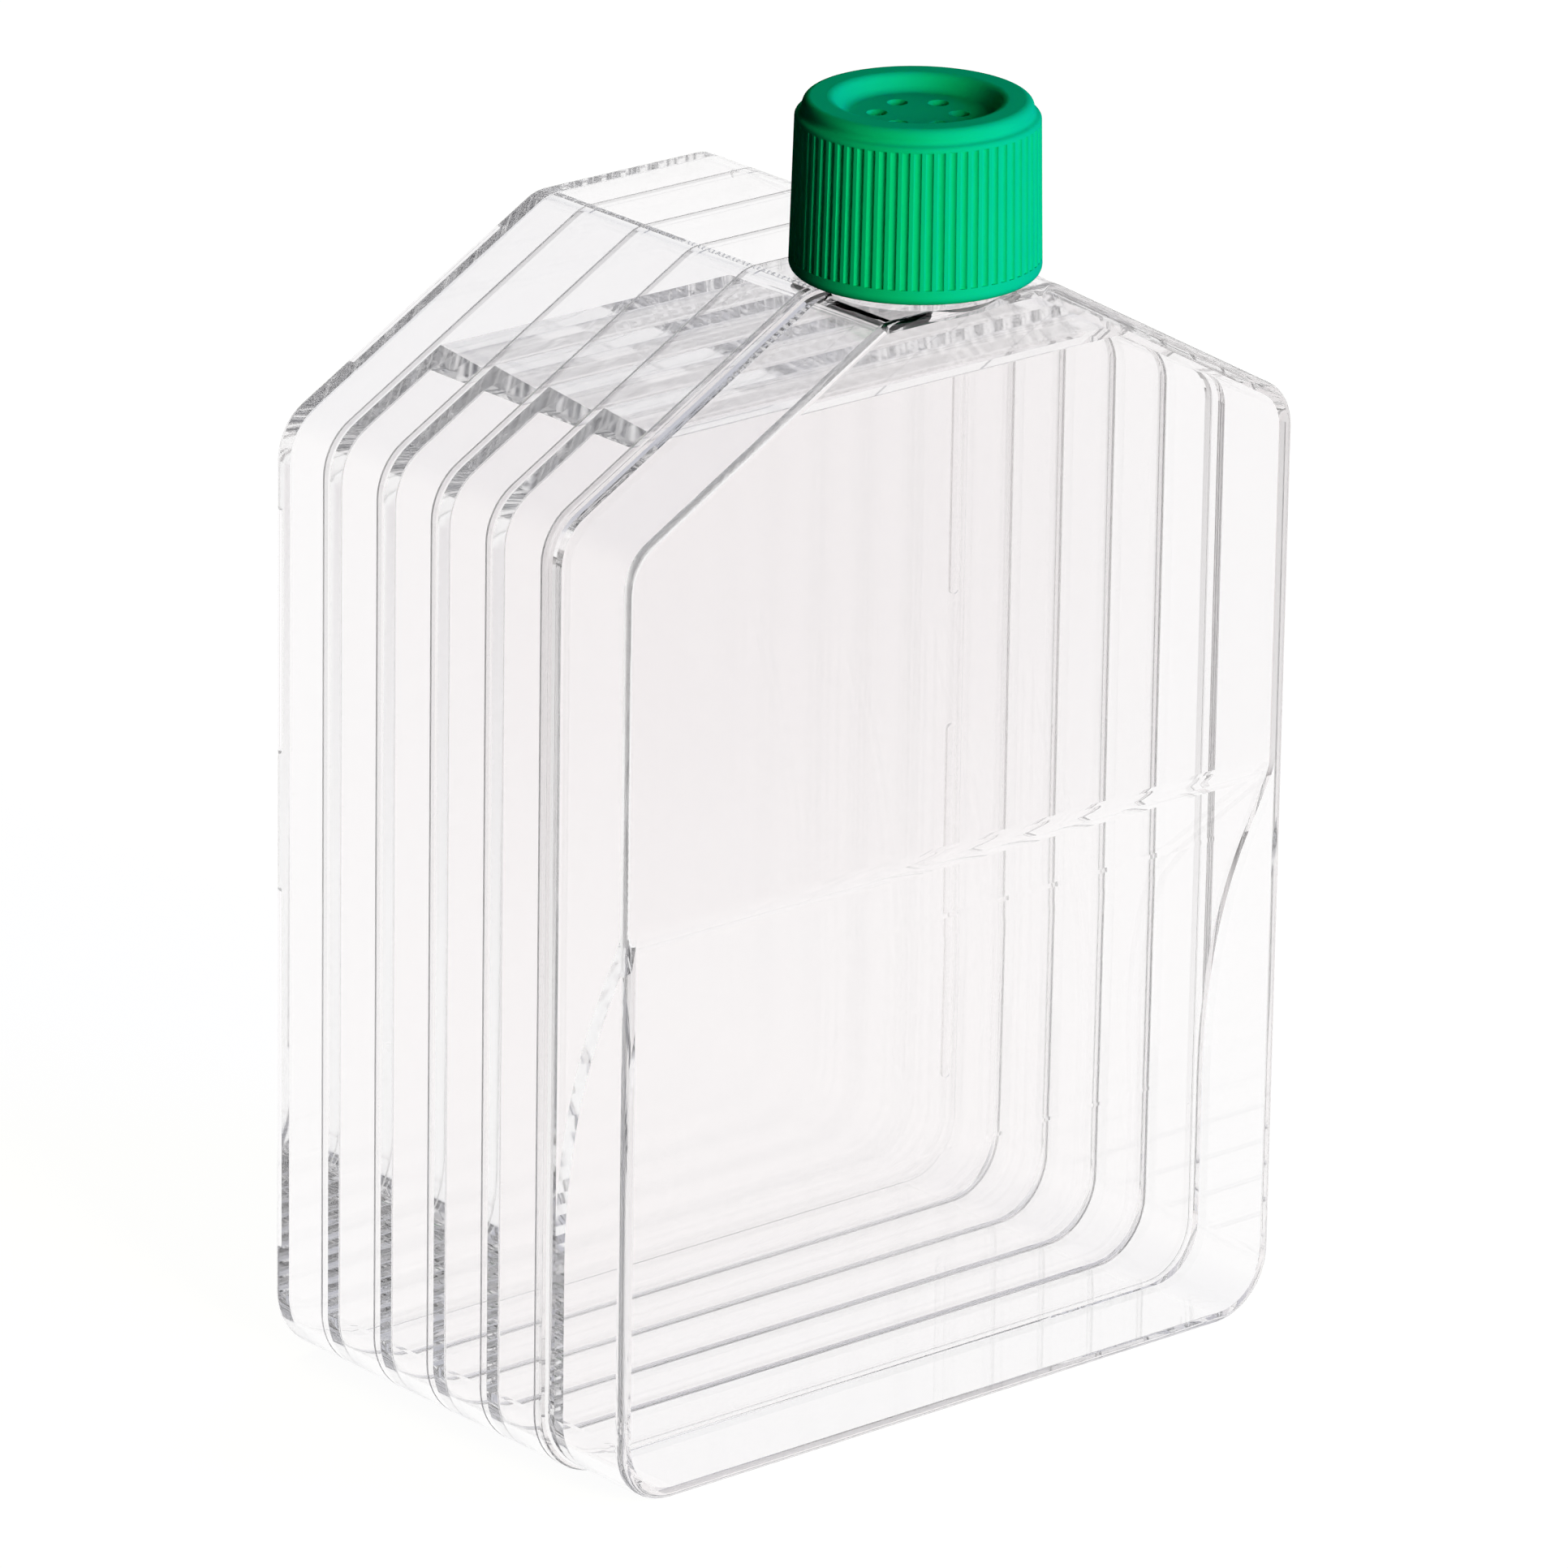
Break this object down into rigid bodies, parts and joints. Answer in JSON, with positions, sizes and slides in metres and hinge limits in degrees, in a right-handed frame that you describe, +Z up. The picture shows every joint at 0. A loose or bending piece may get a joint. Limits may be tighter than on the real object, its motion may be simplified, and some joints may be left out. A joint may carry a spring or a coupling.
{
  "type": "cell culture flask",
  "caption": "Tall clear stacked-layer cell culture flask with sloping shoulders, a recessed lower front and a green vented screw cap on an offset neck.",
  "frame": {"origin": "middle of the flat bottom that the trays stand on, on the ground", "axes": "+Z up towards the neck, +X across the width, -Y towards the front cover with the neck, +Y towards the flat back tray"},
  "size_m": [0.135, 0.0899, 0.2097],
  "materials": {
    "clear_polystyrene": "clear, polished moulded polystyrene",
    "cap_green": "satin moulded polyethylene",
    "vent_filter": "matte filter sheet"
  },
  "bodies": {
    "flask": {"back_tray": "clear_polystyrene", "culture_tray_1": "clear_polystyrene", "culture_tray_2": "clear_polystyrene", "culture_tray_3": "clear_polystyrene", "culture_tray_4": "clear_polystyrene", "front_cover": "clear_polystyrene"},
    "membrane": {"vent_membrane": "vent_filter"},
    "cap": {"vent_cap": "cap_green"}
  },
  "joints": [
    {"name": "cap_lift", "type": "slide", "parent": "flask", "child": "membrane", "axis": [0, 0, 1], "range_m": [0, 0.0254]},
    {"name": "cap_turn", "type": "hinge", "parent": "membrane", "child": "cap", "pos_m": [0, -0.0284, 0.195], "axis": [0, 0, 1], "range_deg": [0, 2160]}
  ],
  "couplings": [
    {"joint": "cap_lift", "follows": "cap_turn", "m_per_rad": 0.00067375}
  ]
}
